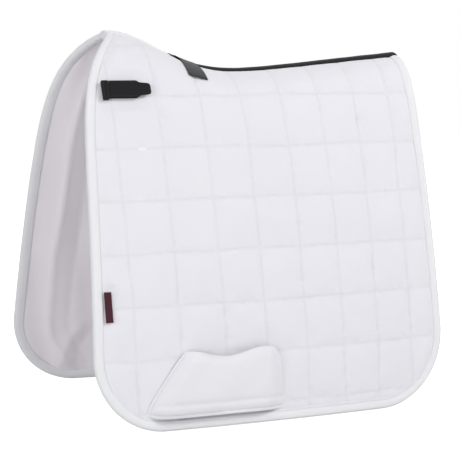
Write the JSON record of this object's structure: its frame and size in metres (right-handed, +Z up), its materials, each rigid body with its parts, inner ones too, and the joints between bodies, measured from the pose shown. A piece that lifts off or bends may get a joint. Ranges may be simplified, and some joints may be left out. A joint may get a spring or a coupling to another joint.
{
  "type": "saddle pad",
  "caption": "Quilted saddle pad with two folding panels, bound edges, grip straps and girth keepers, standing like a tent.",
  "frame": {"origin": "on the floor, under the middle of the pad's length and width", "axes": "+Z up, -X towards the horse's head, -Y towards the near (left) panel"},
  "size_m": [0.5562, 0.4716, 0.5463],
  "materials": {
    "outer_cotton": "quilted cotton twill, matt",
    "lining": "soft woven lining, matt",
    "wadding": "polyester wadding",
    "edge_tape": "white folded binding tape",
    "spine_tape_black": "black folded binding tape",
    "webbing": "black woven webbing",
    "grip_tape": "black hook and loop tape",
    "woven_patch": "black woven patch, bare",
    "woven_tab": "dark maroon woven tab, bare"
  },
  "bodies": {
    "near_side": {"near_outer_shell": "outer_cotton", "near_wadding": "wadding", "near_lining": "lining", "near_edge_binding": "edge_tape", "near_strap_anchor": "webbing", "near_strap_base": "webbing", "near_strap_loop_tape": "grip_tape", "near_girth_keeper": "outer_cotton", "spine_binding": "spine_tape_black", "wither_binding": "edge_tape", "spine_tape": "lining", "spine_label": "woven_patch"},
    "far_side": {"far_outer_shell": "outer_cotton", "far_wadding": "wadding", "far_lining": "lining", "far_edge_binding": "edge_tape", "far_strap_anchor": "webbing", "far_strap_base": "webbing", "far_strap_loop_tape": "grip_tape", "far_girth_keeper": "outer_cotton"},
    "near_strap": {"near_strap_hook_tape": "grip_tape", "near_strap_flap": "webbing"},
    "far_strap": {"far_strap_hook_tape": "grip_tape", "far_strap_flap": "webbing"},
    "tab": {"edge_tab": "woven_tab"}
  },
  "joints": [
    {"name": "spine_fold", "type": "hinge", "parent": "near_side", "child": "far_side", "pos_m": [-0.2, 0, 0.5471], "axis": [0.9973, 0, -0.0728], "range_deg": [-18, 50], "deforming": ["spine_binding", "wither_binding", "spine_tape", "spine_label"]},
    {"name": "near_strap_open", "type": "hinge", "parent": "near_side", "child": "near_strap", "pos_m": [-0.21846, -0.10176, 0.46496], "axis": [0, -0.4449, -0.8956], "range_deg": [0, 150]},
    {"name": "far_strap_open", "type": "hinge", "parent": "far_side", "child": "far_strap", "pos_m": [-0.21846, 0.10176, 0.46496], "axis": [0, -0.4449, 0.8956], "range_deg": [0, 150]},
    {"name": "edge_tab_lift", "type": "hinge", "parent": "near_side", "child": "tab", "pos_m": [-0.25817, -0.20084, 0.17251], "axis": [0, -0.2327, -0.9725], "range_deg": [0, 150]}
  ]
}
